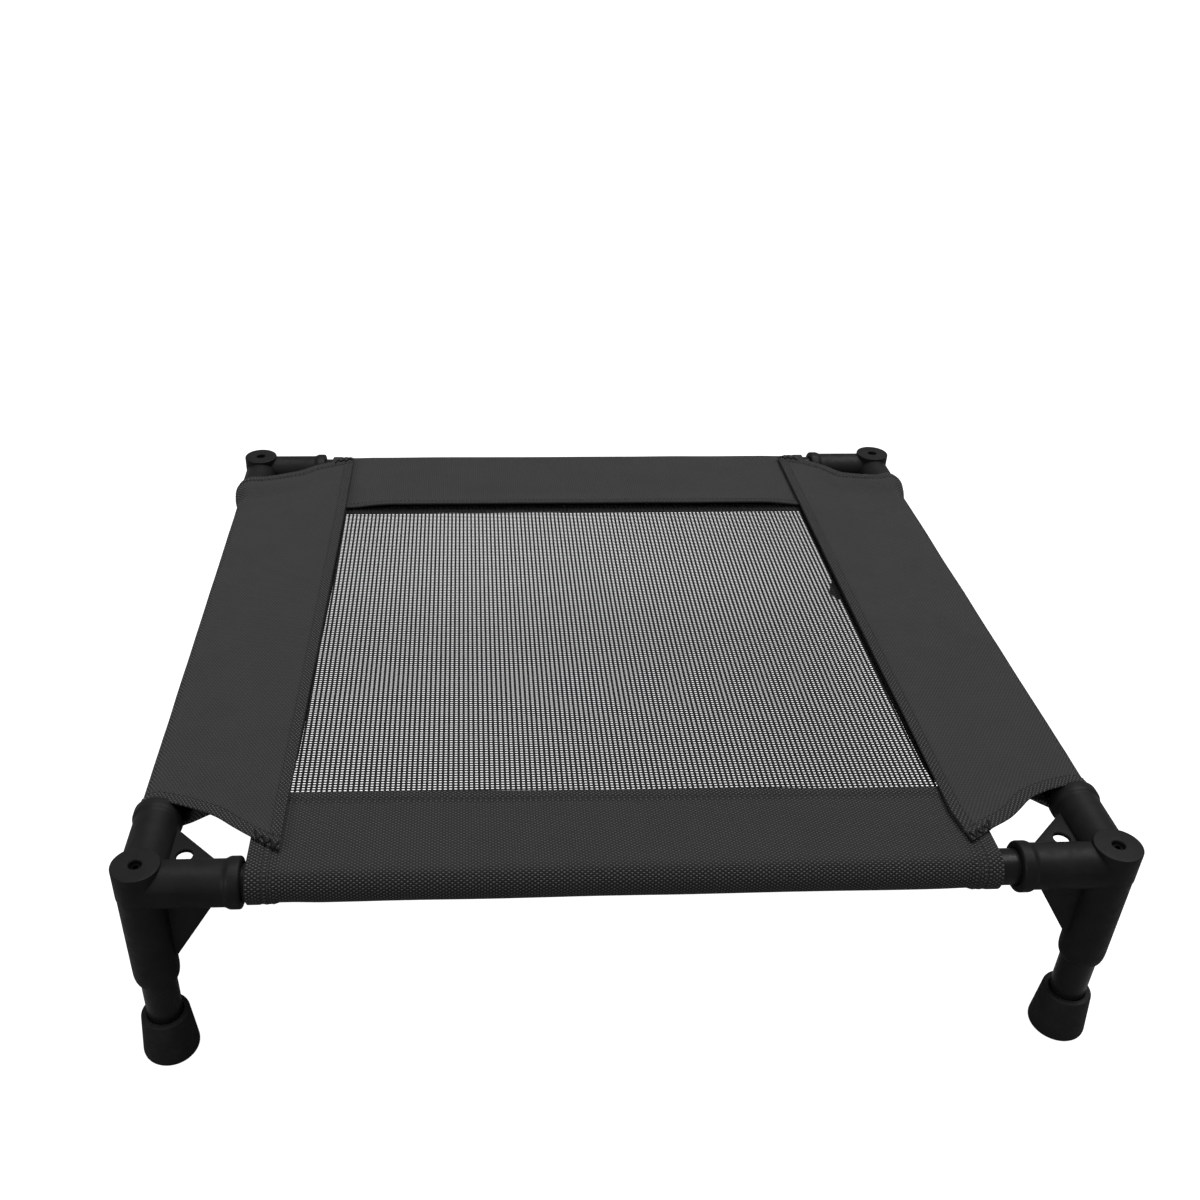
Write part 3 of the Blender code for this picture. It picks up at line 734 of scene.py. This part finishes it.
class Panel:
    """A border panel's sheet. A row is one cut across it: from the mesh's edge over the rail and back
    under it to the seam. A column runs along the rail."""

    def __init__(self, name, inward, along, origin, ends, width_at, radius_at, notch, reach, rise):
        self.name = name
        self.inward, self.along, self.origin = (np.array(v, float) for v in (inward, along, origin))
        self.radius_at = radius_at
        self.width_at = width_at
        self.reach = reach
        self.edge = SLEEVE_RADIUS + rise
        self.under = NET_LEVEL - RAIL_Z - NET_WAVE - COLUMN_THICKNESS / 2 - CLOTH
        self.usual = float(width_at((ends[0] + ends[1]) / 2))
        self.flap = np.concatenate([END_STEPS, steps_between(END_STEPS[-1], self.usual)])
        coarse = steps_between(0, self.usual - END_STEPS[-1]) / self.usual
        self.lower = np.concatenate([coarse, 1 - END_STEPS[-2::-1] / self.usual])
        before_under = len(self.flap) + SLEEVE_STEPS
        self.is_under = np.arange(before_under + len(self.lower)) >= before_under
        us, ws = self.section(self.usual, SLEEVE_RADIUS, 0.0)
        self.across = np.concatenate([[0], np.cumsum(np.hypot(np.diff(us), np.diff(ws)))])
        self.places = self.rows_between(ends, notch)
        inside = np.full(len(self.places) - len(END_STEPS), 2 * END_STEPS[-1])
        self.from_first = np.concatenate([END_STEPS, inside])
        self.from_last = self.from_first[::-1]
        self.points = self.lay_out(ends)
        self.normals = self.face_out()

    def rows_between(self, ends, notch):
        """Each row's places along the rail, from one notched end to the other."""
        limits = []
        for side, end in enumerate(ends):
            us, _ = self.section(float(self.width_at(end)), SLEEVE_RADIUS, 0.0)
            limits.append(notch(us, self.is_under, side))
        slopes = [notch_stretch(us, limit, self.is_under) for limit in limits]
        first, last = ends[0] + limits[0], ends[1] - limits[1]
        begin, finish = first + END_STEPS[-1] * slopes[0], last - END_STEPS[-1] * slopes[1]
        middle = steps_between(0, 1, GRID_STEP / (ends[1] - ends[0]))[:-1]
        rows = [first + distance * slopes[0] for distance in END_STEPS]
        rows += [begin + (finish - begin) * share for share in middle]
        rows += [last - distance * slopes[1] for distance in END_STEPS[::-1]]
        return np.array(rows)

    def section(self, width, radius, closing):
        """The cloth's middle line cut across, as arrays inwards from the rail's axis and up from it.
        As closing goes from 0 to 1, the lower layer rises to meet the upper one near the rail."""
        tip = (width + self.reach, self.under)
        leaves = math.atan2(tip[1], tip[0]) - math.acos(radius / math.hypot(*tip))
        angles = np.linspace(math.pi / 2, 2 * math.pi + leaves, SLEEVE_STEPS + 1)[1:]
        near = END_STEPS[-1]
        stretch = (width - near) / (self.usual - near)
        us = width - np.where(self.flap < near, self.flap, near + (self.flap - near) * stretch)
        ws = self.edge + (radius - self.edge) * (1 - us / width)
        around_u, around_w = radius * np.cos(angles), radius * np.sin(angles)
        under_u = around_u[-1] + (tip[0] - around_u[-1]) * self.lower
        under_w = around_w[-1] + (tip[1] - around_w[-1]) * self.lower
        hug = self.edge - CLOTH - 2 * CLEARANCE
        share = np.clip((under_u - around_u[-1]) / (UNDER_MEETS - around_u[-1]), 0, 1)
        closed = around_w[-1] + (hug - around_w[-1]) * share
        under_w = under_w + (closed - under_w) * closing * (under_u < UNDER_STOP[1] + near)
        return np.concatenate([us, around_u, under_u]), np.concatenate([ws, around_w, under_w])

    def lay_out(self, ends):
        """The sheet's middle points, row by row."""
        rows = []
        flap = len(self.flap)
        for places in self.places:
            sleeve = float(np.median(places[flap:]))
            middle = float(np.mean(places[:flap]))
            closing = 0.0
            if self.radius_at is side_radius:
                lower = places[self.is_under]
                near = min(float(lower.min()) - ends[0], ends[1] - float(lower.max()))
                closing = 1 - float(smooth(near, *UNDER_OPENS))
            us, ws = self.section(float(self.width_at(middle)), self.radius_at(sleeve), closing)
            row = self.origin + us[:, None] * self.inward + places[:, None] * self.along
            rows.append(row + ws[:, None] * np.array([0, 0, 1]))
        return np.array(rows)

    def face_out(self):
        """Unit normals that point away from the rail."""
        across = np.gradient(self.points, axis=1)
        along = np.gradient(self.points, axis=0)
        normals = unit(np.cross(along, across))
        outermost = len(self.flap) + SLEEVE_STEPS // 3
        if normals[len(normals) // 2, outermost] @ self.inward > 0:
            normals = -normals
        return normals

    def push(self, amount):
        """Moves each point along its normal."""
        self.points = self.points + self.normals * amount[..., None]
        self.normals = self.face_out()

    def row_at(self, distance, last=False):
        index = np.interp(distance, END_STEPS, np.arange(len(END_STEPS)))
        return len(self.places) - 1 - index if last else index

    def column_at(self, distance):
        return np.interp(distance, self.across, np.arange(len(self.across)))

    def at(self, rows, columns, lift):
        """Points on the cloth's outer face, and its normals, at fractional rows and columns."""
        rows = np.clip(rows, 0, len(self.places) - 1.001)
        columns = np.clip(columns, 0, len(self.across) - 1.001)
        r, c = rows.astype(int), columns.astype(int)
        fr, fc = (rows - r)[:, None], (columns - c)[:, None]

        def mixed(grid):
            near = grid[r, c] * (1 - fc) + grid[r, c + 1] * fc
            far = grid[r + 1, c] * (1 - fc) + grid[r + 1, c + 1] * fc
            return near * (1 - fr) + far * fr

        normals = unit(mixed(self.normals))
        half = mixed(self.thickness[..., None]) / 2
        return mixed(self.points) + normals * (half + lift), normals


def notch_stretch(us, limit, is_under):
    """How much longer a distance square to the panel's end is when measured along the rail."""
    slope = np.zeros(len(us))
    for part in (~is_under, is_under):
        step = np.gradient(us[part])
        slope[part] = np.gradient(limit[part]) / np.where(np.abs(step) < TINY, TINY, step)
    return np.sqrt(1 + np.clip(slope, -STEEPEST, STEEPEST) ** 2)


def curve_through(points, steps=CURVE_STEPS):
    """A smooth curve through the points, as an array."""
    knots = np.array(points)
    ends = [2 * knots[0] - knots[1], *knots, 2 * knots[-1] - knots[-2]]
    curve = []
    for a, b, c, d in zip(ends, ends[1:], ends[2:], ends[3:]):
        for t in np.arange(steps) / steps:
            bend = (2 * a - 5 * b + 4 * c - d) * t * t + (3 * b - a - 3 * c + d) * t**3
            curve.append(b + (c - a) * t / 2 + bend / 2)
    return np.array([*curve, knots[-1]])


def side_notch(name):
    """How far the side panel's end is from the leg's axis, at each place inwards from the rail."""
    curves = [curve_through(points) for points in NOTCHES[name]]

    def notch(us, is_under, side):
        window = (WINDOW_FRONT + HALF_Y, HALF_Y - WINDOW_REAR)[side]
        hem = np.interp(us, curves[side][:, 0], curves[side][:, 1])
        hem = hem + UNDER_SET_BACK * is_under * smooth(us, UNDER_MEETS / 2, UNDER_MEETS)
        back = smooth(us, *UNDER_STOP) * is_under
        return hem + (np.maximum(hem, window + 4 * CLEARANCE) - hem) * back

    return notch


def straight_end(us, is_under, side):
    return np.zeros(len(us))


def inner_edge(name):
    """The side panel's width at each place along it."""
    places, widths = np.array(INNER_EDGES[name]).T
    return lambda place: np.interp(place + HALF_Y, places, widths)


def front_width(place):
    return WINDOW_FRONT + HALF_Y + FRONT_EDGE_SKEW * place


def rear_width(place):
    return HALF_Y - WINDOW_REAR


def side_radius(place):
    """The cloth's radius round the side rail. The rear end is pulled over the corner's socket."""
    from_leg = HALF_Y - place
    over_rim = RIM_RADIUS + CLEARANCE + CLOTH / 2
    behind = REAR_SLIM * smooth(-from_leg, RIM_LENGTH - SOCKET_REACH, -REAR_SLIM_AT)
    wide = smooth(-from_leg, -FLARE_START, -FLARE_TOP)
    return SLEEVE_RADIUS + (over_rim - SLEEVE_RADIUS) * wide - behind


def plain_radius(place):
    return SLEEVE_RADIUS


def wrinkled(panel, seed, is_side):
    """How far the cloth stands off: folds along the panel, and more near a side panel's ends."""
    places = panel.places
    amount = np.zeros(places.shape)
    to_end = np.minimum(places - places.min(), places.max() - places)
    near_end = np.exp(-to_end / END_WRINKLE_REACH)
    for (r, c), along in np.ndenumerate(places):
        across = panel.across[c] * FOLDS_ACROSS
        slow = noise.noise(Vector((along * SLOW_FOLDS, across, seed)))
        quick = noise.noise(Vector((along * QUICK_FOLDS, across, seed + QUICK_SEED)))
        amount[r, c] = WRINKLE * (0.5 + 0.5 * slow)
        if is_side:
            amount[r, c] += END_WRINKLE * near_end[r, c] * max(0.0, quick)
    if is_side:
        return amount * (1 - TAUT_SHARE * smooth(places, HALF_Y - TAUT_FROM, HALF_Y - FLARE_TOP))
    return amount * (1 - smooth(np.abs(places), WINDOW_X - COVERED_FROM, WINDOW_X))


def curled(panel):
    """How far the rear panel's free edge lifts off the netting."""
    edge = np.exp(-((panel.across / CURL_REACH) ** 2))[None, :]
    inside = smooth(WINDOW_X - np.abs(panel.places), -CLEARANCE, 2 * COVERED_FROM)
    return REAR_CURL * edge * inside


def in_hem(distance, width):
    """1 within a hem of that width, 0 beyond it."""
    return 1 - smooth(distance, width + HEM_STEP[0], width + HEM_STEP[1])


def at_seam(distance, seam):
    """1 on a seam, 0 away from it."""
    return np.exp(-(((distance - seam) / SEAM_HALF_WIDTH) ** 2))


def sewn(panel, end_seams, hem, plain):
    """Thickens the hems and pulls the cloth in along its seams. Its weave's bump and its painted shade
    and highlight show most on hems and curves, and by the share plain where it's stretched flat."""
    to_end = np.minimum(panel.from_first, panel.from_last)[:, None]
    to_window = np.minimum(panel.across, panel.across[-1] - panel.across)[None, :]
    fold = np.maximum(in_hem(to_end, hem), in_hem(to_window, HEM_WIDTH))
    panel.thickness = CLOTH + HEM_EXTRA * fold
    pull = at_seam(to_window, SEAM_INSET)
    for seam in end_seams:
        pull = np.maximum(pull, at_seam(to_end, seam))
    # Cloth that turns away from straight up gets the weave's painted shade and highlight.
    curved = 1 - smooth(panel.normals[..., 2], *FLAT_FROM)
    shows = plain + (1 - plain) * np.maximum(HEM_RELIEF_AND_SHADE * fold, curved)
    panel.relief = shows * (1 - SEAM_FLATTENS * pull)
    panel.push(HEM_LIFT * fold - SEAM_PULL * pull)


def cloth_solid(panel):
    """The panel's sheet as a closed body of the cloth's thickness, with rounded edges."""
    points, normals = panel.points, panel.normals
    half = panel.thickness[..., None] / 2
    outer, inner = points + normals * half, points - normals * half
    rows, columns = points.shape[:2]
    count = rows * columns
    index = np.arange(count).reshape(rows, columns)
    loop = np.concatenate([index[0, :-1], index[:-1, -1], index[-1, :0:-1], index[:0:-1, 0]])
    step_in = np.concatenate([index[1, :-1], index[:-1, -2], index[-2, :0:-1], index[:0:-1, 1]])
    flat, flat_half = points.reshape(-1, 3), half.reshape(-1, 1)
    out = unit(flat[loop] - flat[step_in])
    rim = flat[loop] + out * flat_half[loop] * EDGE_ROUND
    vertices = np.vstack([outer.reshape(-1, 3), inner.reshape(-1, 3), rim])
    face = np.stack([index[:-1, :-1], index[:-1, 1:], index[1:, 1:], index[1:, :-1]], -1)
    face = face.reshape(-1, 4)
    rim_index = 2 * count + np.arange(len(loop))
    after, rim_after = np.roll(loop, -1), np.roll(rim_index, -1)
    upper = np.stack([loop, rim_index, rim_after, after], -1)
    lower = np.stack([rim_index, loop + count, after + count, rim_after], -1)
    faces = np.vstack([face, face[:, ::-1] + count, upper, lower])
    mesh = bpy.data.meshes.new(panel.name)
    mesh.from_pydata(vertices, [], faces.tolist())
    around = np.broadcast_to(panel.across, (rows, columns))
    weave = np.stack([panel.places, around], -1).reshape(-1, 2)
    weave = np.vstack([weave, weave, weave[loop]])
    layer = mesh.uv_layers.new(name="weave")
    corners = np.empty(len(mesh.loops), dtype=np.int64)
    mesh.loops.foreach_get("vertex_index", corners)
    layer.data.foreach_set("uv", weave[corners].ravel())
    # Per point share of the weave's bump and of its painted shade and highlight.
    relief = panel.relief.ravel()
    relief = np.concatenate([relief, relief, relief[loop]]).astype(np.float32)
    mesh.attributes.new("relief", "FLOAT", "POINT").data.foreach_set("value", relief)
    shape = bmesh.new()
    shape.from_mesh(mesh)
    bmesh.ops.recalc_face_normals(shape, faces=shape.faces)
    shape.to_mesh(mesh)
    shape.free()
    mesh.shade_smooth()
    return mesh


def seam_line(panel, rows, columns):
    """A seam from one (row, column) to another, as dense points on the cloth and its normals."""
    share = np.linspace(0, 1, SEAM_SAMPLES)
    return panel.at(
        rows[0] + (rows[1] - rows[0]) * share,
        columns[0] + (columns[1] - columns[0]) * share,
        0.0,
    )


def rings_round(middle, ahead, up, radius):
    """Rings of points round the middle ones, square to the way ahead."""
    side = unit(np.cross(ahead, up))
    angles = np.arange(THREAD_SIDES)[:, None] * 2 * math.pi / THREAD_SIDES
    around = side[..., None, :] * np.cos(angles) + up[..., None, :] * np.sin(angles)
    return middle[..., None, :] + around * np.asarray(radius)[..., None, None]


def stitches(line, normals):
    """Rings of the stitches along a seam: short threads that dive into the cloth at their ends."""
    steps = np.linalg.norm(np.diff(line, axis=0), axis=1)
    length = np.concatenate([[0], np.cumsum(steps)])
    count = int(length[-1] / STITCH_PITCH)
    centres = (np.arange(count) + 0.5) * length[-1] / count
    places = centres[:, None] + np.array(STITCH_PLACES) * STITCH_LENGTH / 2
    where = np.stack([np.interp(places, length, line[:, k]) for k in range(3)], -1)
    up = unit(np.stack([np.interp(places, length, normals[:, k]) for k in range(3)], -1))
    ahead = np.gradient(where, axis=1)
    lifted = where + up * np.array(STITCH_HEIGHTS)[:, None] * THREAD_RADIUS
    return rings_round(lifted, ahead, up, np.array(STITCH_SWELL) * THREAD_RADIUS)


def stitching(panel, seams):
    """One piece with the stitches of all the panel's seams, each given by its rows and columns."""
    rings = np.concatenate([stitches(*seam_line(panel, *seam)) for seam in seams])
    return threads_mesh(panel.name + "_stitching", rings)


def window_seams(panel):
    """The seam along the mesh's edge, on the upper and the lower layer."""
    whole = (WINDOW_SEAM_FROM, len(panel.places) - 1 - WINDOW_SEAM_FROM)
    upper = panel.column_at(SEAM_INSET)
    lower = panel.column_at(panel.across[-1] - SEAM_INSET)
    return [(whole, (upper, upper)), (whole, (lower, lower))]


def end_seam(panel, distance, last):
    row = panel.row_at(distance, last)
    edges = (SEAM_MARGIN, panel.across[-1] - SEAM_MARGIN)
    return ((row, row), [panel.column_at(edge) for edge in edges])


def tack(panel, last):
    """The zig-zag bar tack at a side panel's tip, as rings of one thread. It runs on past the
    panel's edge, down to the panel underneath."""
    share = np.linspace(0, 1, TACK_STEPS * TACK_TURNS + 1)
    zigzag = 4 * np.abs((share * TACK_TURNS) % 1 - 0.5) - 1
    uneven = 1 - TACK_UNEVEN + TACK_UNEVEN * np.sin(TACK_TURNS * TACK_BEAT * share + TACK_PHASE)
    distance = TACK_INSET + TACK_WIDTH / 2 * zigzag * uneven
    columns = panel.column_at(TACK_THREAD + TACK_LENGTH * share)
    lift = TACK_THREAD * TACK_LIFT
    line, up = panel.at(panel.row_at(distance, last), columns, lift)
    width = np.full(len(share), TACK_WIDTH)
    within, _ = panel.at(panel.row_at(width, last), columns, lift)
    beyond = np.maximum(-distance, 0)[:, None]
    line = line + (line - within) / TACK_WIDTH * beyond - up * np.minimum(beyond, SIDE_RISE / 2)
    return rings_round(line, np.gradient(line, axis=0), up, TACK_THREAD)[None]


def netting_mesh():
    """Woven netting of real threads: each front-to-back thread waves over and under the cross ones."""
    low, high = box("mesh_panel")
    columns = int((high.x - low.x) / COLUMN_PITCH)
    rows = int((high.y - low.y) / ROW_PITCH)
    xs = NET_SHIFT + (np.arange(columns) - (columns - 1) / 2) * COLUMN_PITCH
    ys = (low.y + high.y) / 2 + (np.arange(rows) - (rows - 1) / 2) * ROW_PITCH
    middle = (WINDOW_FRONT + WINDOW_REAR) / 2
    half = (WINDOW_REAR - WINDOW_FRONT) / 2

    def level(x, y):
        dip = np.clip(1 - (x / WINDOW_X) ** 2, 0, 1) * np.clip(1 - ((y - middle) / half) ** 2, 0, 1)
        return NET_LEVEL - NET_SAG * dip

    x, y = np.meshgrid(xs, ys, indexing="ij")
    turn = np.indices(x.shape).sum(axis=0) % 2 * 2 - 1
    z = level(x, y) + NET_WAVE * turn
    down = four_sided(np.stack([x, y, z], -1), (1, 0, 0), COLUMN_WIDTH, COLUMN_THICKNESS)
    reach = np.linspace(low.x, high.x, ROW_SEGMENTS + 1) + NET_SHIFT
    x, y = np.meshgrid(reach, ys, indexing="xy")
    across = four_sided(np.stack([x, y, level(x, y)], -1), (0, 1, 0), ROW_WIDTH, ROW_THICKNESS)
    shape = bmesh.new()
    for part in (down, across):
        shape.from_mesh(threads_mesh("netting", part))
    return mesh_of("netting", shape, math.pi)


def four_sided(lines, side, width, thickness):
    """Flat four-sided threads along lines of points."""
    side, up = np.array(side) * width / 2, np.array([0, 0, thickness / 2])
    corners = [side + up, up - side, -side - up, side - up]
    return np.stack([lines + corner for corner in corners], axis=2)


def side_panel(name, x):
    return Panel(
        name + "_border",
        inward=(-x, 0, 0),
        along=(0, 1, 0),
        origin=(x * HALF_X, 0, RAIL_Z),
        ends=(-HALF_Y, HALF_Y),
        width_at=inner_edge(name),
        radius_at=side_radius,
        notch=side_notch(name),
        reach=SIDE_UNDER_REACH,
        rise=SIDE_RISE,
    )


def end_panel(name, y, width_at, reach):
    low, high = box(name + "_panel")
    return Panel(
        name + "_border",
        inward=(0, -y, 0),
        along=(1, 0, 0),
        origin=(0, y * HALF_Y, RAIL_Z),
        ends=(low.x, high.x),
        width_at=width_at,
        radius_at=plain_radius,
        notch=straight_end,
        reach=reach,
        rise=0.0,
    )


def build_border(name, panel, seed):
    """A border panel with its stitching and tacks."""
    is_side = name in NOTCHES
    panel.push(wrinkled(panel, seed, is_side))
    if name == "rear":
        panel.push(curled(panel))
    end_seams = (NOTCH_SEAM,) if is_side else END_SEAMS
    sewn(panel, end_seams, HEM_WIDTH if is_side else END_HEM_WIDTH, PLAIN_SHARES[name])
    seams = window_seams(panel)
    for seam in end_seams:
        seams += [end_seam(panel, seam, False), end_seam(panel, seam, True)]
    border = piece(panel.name, cloth_solid(panel), cloth, "cover_cloth", name + "_panel")
    sewn_on = [piece(panel.name + "_stitching", stitching(panel, seams), sewing, "cover_cloth")]
    if is_side:
        tacks = np.concatenate([tack(panel, False), tack(panel, True)])
        mesh = threads_mesh(panel.name + "_tacks", tacks)
        sewn_on.append(piece(panel.name + "_tacks", mesh, tacking, "cover_cloth"))
    lengths = panel.places[-1] - panel.places[0]
    area = float((np.diff(panel.across) * (lengths[1:] + lengths[:-1]) / 2).sum())


def build_cover():
    panels = {
        "left": side_panel("left", -1),
        "right": side_panel("right", 1),
        "front": end_panel("front", -1, front_width, SIDE_UNDER_REACH),
        "rear": end_panel("rear", 1, rear_width, REAR_UNDER_REACH),
    }
    for count, (name, panel) in enumerate(panels.items()):
        build_border(name, panel, SEED_STEP * count + FIRST_SEED)
    low, high = box("mesh_panel")
    net = piece("netting", netting_mesh(), netting, "mesh_netting", "mesh_panel")


# ---- floor, light and camera

FLOOR_HALF = 30.0
FLOOR_GAP = 0.0002  # keeps the floor out of the soles
FLOOR_GLOW = 1.0
SKY = 0.25  # how bright the surroundings are to the bed; the backdrop itself is white
SUN_STRENGTH = 3.4
SUN_SOFTNESS = math.radians(50)
SUN_TURN = (math.radians(-10), math.radians(12), 0)
FILL_STRENGTH = 0.9
FILL_SOFTNESS = math.radians(30)
FILL_TURN = (0, math.radians(-60), math.radians(40))
CAMERA_PLACE = (-0.0946, -0.8094, 0.6742)
CAMERA_PITCH = 0.5746  # radians below the horizon
CAMERA_YAW = -0.0559
CAMERA_ROLL = 0.0194
CAMERA_LENS = 37.69
CAMERA_SHIFT = (0.0577, 0.0152)
SENSOR_WIDTH = 36
CLIP_START = 0.02


def build_floor():
    shape = bmesh.new()
    half = FLOOR_HALF
    corners = [(-half, -half), (half, -half), (half, half), (-half, half)]
    shape.faces.new([shape.verts.new((x, y, -FLOOR_GAP)) for x, y in corners])
    floor = bpy.data.objects.new("floor", mesh_of("floor", shape))
    f = Finish("pale_floor", specular=0.1)
    seen = f.node("LightPath").outputs["Is Camera Ray"]
    f.shader.inputs["Emission Color"].default_value = (1, 1, 1, 1)
    f.join(f.math("MULTIPLY", seen, FLOOR_GLOW), f.shader.inputs["Emission Strength"])
    tone = f.mix(f.grain(3, 2), (0.21, 0.21, 0.21), (0.23, 0.23, 0.23))
    floor.data.materials.append(f.finish(tone, 0.8, f.bump(f.grain(300, 2), 0.00002)))
    bpy.context.collection.objects.link(floor)


def build_lights():
    world = bpy.data.worlds.new("studio")
    world.use_nodes = True
    nodes, links = world.node_tree.nodes, world.node_tree.links
    rays = nodes.new("ShaderNodeLightPath")
    level = nodes.new("ShaderNodeMapRange")
    level.inputs["To Min"].default_value = SKY
    links.new(rays.outputs["Is Camera Ray"], level.inputs["Value"])
    links.new(level.outputs[0], nodes["Background"].inputs["Strength"])
    nodes["Background"].inputs["Color"].default_value = (1, 1, 1, 1)
    bpy.context.scene.world = world
    for name, strength, softness, turn in (
        ("overhead", SUN_STRENGTH, SUN_SOFTNESS, SUN_TURN),
        ("fill", FILL_STRENGTH, FILL_SOFTNESS, FILL_TURN),
    ):
        sun = bpy.data.lights.new(name, "SUN")
        sun.energy = strength
        sun.angle = softness
        lamp = bpy.data.objects.new(name, sun)
        lamp.rotation_euler = turn
        bpy.context.collection.objects.link(lamp)


def build_camera():
    data = bpy.data.cameras.new("camera")
    data.sensor_width = SENSOR_WIDTH
    data.lens = CAMERA_LENS
    data.shift_x, data.shift_y = CAMERA_SHIFT
    data.clip_start = CLIP_START
    right = Vector((math.cos(CAMERA_YAW), math.sin(CAMERA_YAW), 0))
    ahead = Vector((-math.sin(CAMERA_YAW), math.cos(CAMERA_YAW), 0)) * math.cos(CAMERA_PITCH)
    ahead.z = -math.sin(CAMERA_PITCH)
    up = right.cross(ahead)
    turn = Matrix.Rotation(CAMERA_ROLL, 3, -ahead)
    axes = Matrix((turn @ right, turn @ up, -ahead)).transposed()
    camera = bpy.data.objects.new("camera", data)
    camera.matrix_world = Matrix.Translation(CAMERA_PLACE) @ axes.to_4x4()
    bpy.context.collection.objects.link(camera)
    bpy.context.scene.camera = camera
    bpy.context.scene.view_settings.view_transform = "Standard"


build_corners()
build_tubes()
build_feet_and_screws()
build_cover()
build_floor()
build_lights()
build_camera()
